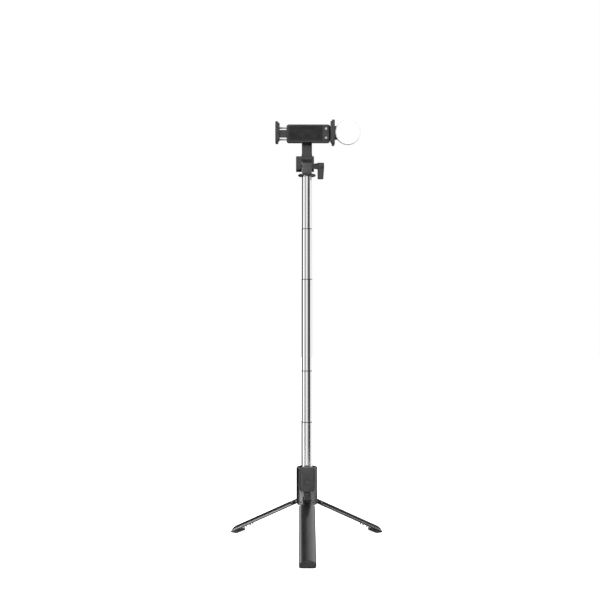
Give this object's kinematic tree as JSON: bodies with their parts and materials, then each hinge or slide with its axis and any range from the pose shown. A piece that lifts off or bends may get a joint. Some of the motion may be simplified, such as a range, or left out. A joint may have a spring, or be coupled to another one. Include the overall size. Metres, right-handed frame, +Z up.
{
  "type": "selfie stick tripod",
  "caption": "Selfie stick with folding tripod legs, a telescopic steel tube, a tilting phone clamp with a swing-out fill light, and a docked remote shutter.",
  "frame": {"origin": "on the floor, at the centre of the bounding box's footprint; the tube stands 26.3 mm behind it (+Y)", "axes": "+Z up along the tube, -Y towards the viewer (the way the phone's screen and the front leg face), +X to the viewer's right, towards the light"},
  "size_m": [0.2212, 0.1922, 0.5822],
  "materials": {
    "black_plastic": "satin black",
    "remote_plastic": "soft satin, dark grey",
    "grey_plastic": "satin dark grey",
    "black_rubber": "matt",
    "tube_steel": "polished",
    "steel_hardware": "plated",
    "brass": "machined",
    "white_plastic": "satin white",
    "diffuser": "milky, translucent",
    "circuit_board": "green solder mask",
    "cell_wrap": "satin wrap"
  },
  "bodies": {
    "stand": {"collar": "black_plastic", "leg_hub": "black_plastic", "lower_tube": "tube_steel", "lower_tube_plug": "black_plastic", "collar_bush": "black_plastic", "hub_screw_rear": "steel_hardware", "hub_screw_left": "steel_hardware", "hub_screw_right": "steel_hardware", "leg_pin_front": "steel_hardware", "leg_pin_right": "steel_hardware", "leg_pin_left": "steel_hardware"},
    "leg_front": {"leg_shell_front": "black_plastic", "leg_liner_front": "black_plastic", "leg_foot_front": "black_rubber"},
    "leg_right": {"leg_shell_right": "black_plastic", "leg_liner_right": "black_plastic", "leg_foot_right": "black_rubber"},
    "leg_left": {"leg_shell_left": "black_plastic", "leg_liner_left": "black_plastic", "leg_foot_left": "black_rubber"},
    "section_1": {"tube_section_1": "tube_steel", "section_ring_1": "black_plastic"},
    "section_2": {"tube_section_2": "tube_steel", "section_ring_2": "black_plastic"},
    "section_3": {"tube_section_3": "tube_steel", "section_ring_3": "black_plastic"},
    "section_4": {"tube_section_4": "tube_steel", "section_ring_4": "black_plastic"},
    "section_5": {"tube_section_5": "tube_steel", "head_disc": "black_plastic", "head_post": "grey_plastic"},
    "clamp_arm": {"clamp_bracket": "black_plastic", "tilt_bolt": "steel_hardware", "swivel_screw": "steel_hardware"},
    "knob": {"lever_knob": "black_plastic", "knob_insert": "brass"},
    "phone_clamp": {"clamp_housing": "black_plastic", "clamp_cover": "black_plastic", "cover_screw_lower": "steel_hardware", "cover_screw_upper": "steel_hardware", "back_pad": "black_rubber", "swivel_nut": "brass", "fixed_jaw": "black_plastic", "fixed_jaw_pad": "black_rubber", "light_hinge_pin": "steel_hardware", "clamp_spring": "steel_hardware"},
    "moving_jaw": {"sliding_jaw": "black_plastic", "sliding_jaw_pad": "black_rubber", "guide_rod_lower": "steel_hardware", "guide_rod_upper": "steel_hardware"},
    "light": {"light_housing": "white_plastic", "light_diffuser": "diffuser", "light_led_board": "circuit_board", "light_battery": "cell_wrap"},
    "light_switch": {"light_button": "white_plastic"},
    "remote": {"remote_back_case": "remote_plastic", "remote_front_case": "remote_plastic", "remote_board": "circuit_board", "remote_coin_cell": "steel_hardware"},
    "shutter_button": {"remote_button": "remote_plastic"}
  },
  "joints": [
    {"name": "leg_front_fold", "type": "hinge", "parent": "stand", "child": "leg_front", "pos_m": [0, 0.01526, 0.0574], "axis": [1, 0, 0], "range_deg": [0, 62]},
    {"name": "leg_right_fold", "type": "hinge", "parent": "stand", "child": "leg_right", "pos_m": [0.00953, 0.03176, 0.0574], "axis": [-0.5, 0.866, 0], "range_deg": [0, 62]},
    {"name": "leg_left_fold", "type": "hinge", "parent": "stand", "child": "leg_left", "pos_m": [-0.00953, 0.03176, 0.0574], "axis": [-0.5, -0.866, 0], "range_deg": [0, 62]},
    {"name": "section_1_slide", "type": "slide", "parent": "stand", "child": "section_1", "axis": [0, 0, 1], "range_m": [-0.0595, 0]},
    {"name": "section_2_slide", "type": "slide", "parent": "section_1", "child": "section_2", "axis": [0, 0, 1], "range_m": [-0.0679, 0]},
    {"name": "section_3_slide", "type": "slide", "parent": "section_2", "child": "section_3", "axis": [0, 0, 1], "range_m": [-0.086, 0]},
    {"name": "section_4_slide", "type": "slide", "parent": "section_3", "child": "section_4", "axis": [0, 0, 1], "range_m": [-0.0665, 0]},
    {"name": "section_5_slide", "type": "slide", "parent": "section_4", "child": "section_5", "axis": [0, 0, 1], "range_m": [-0.069, 0]},
    {"name": "clamp_tilt", "type": "hinge", "parent": "section_5", "child": "clamp_arm", "pos_m": [0, 0.02626, 0.5218], "axis": [-1, 0, 0], "range_deg": [-90, 90]},
    {"name": "lever_knob_turn", "type": "hinge", "parent": "clamp_arm", "child": "knob", "pos_m": [0.0146, 0.02626, 0.5218], "axis": [1, 0, 0], "range_deg": [-90, 90]},
    {"name": "clamp_roll", "type": "hinge", "parent": "clamp_arm", "child": "phone_clamp", "pos_m": [0, 0.02626, 0.564], "axis": [0, -1, 0], "range_deg": [0, 90]},
    {"name": "jaw_slide", "type": "slide", "parent": "phone_clamp", "child": "moving_jaw", "axis": [-1, 0, 0], "range_m": [-0.011, 0.019], "deforming": ["clamp_spring"]},
    {"name": "light_swing", "type": "hinge", "parent": "phone_clamp", "child": "light", "pos_m": [0.04, 0.01126, 0.564], "axis": [0, 0, 1], "range_deg": [0, 90]},
    {"name": "light_button_press", "type": "slide", "parent": "light", "child": "light_switch", "axis": [0, -1, 0], "range_m": [0, 0.0004], "stiffness_N_per_m": 600, "springref_m": -0.0005},
    {"name": "remote_release", "type": "slide", "parent": "stand", "child": "remote", "axis": [0, -1, 0], "range_m": [0, 0.045]},
    {"name": "remote_button_press", "type": "slide", "parent": "remote", "child": "shutter_button", "axis": [0, 1, 0], "range_m": [0, 0.0005], "stiffness_N_per_m": 600, "springref_m": -0.0005}
  ]
}
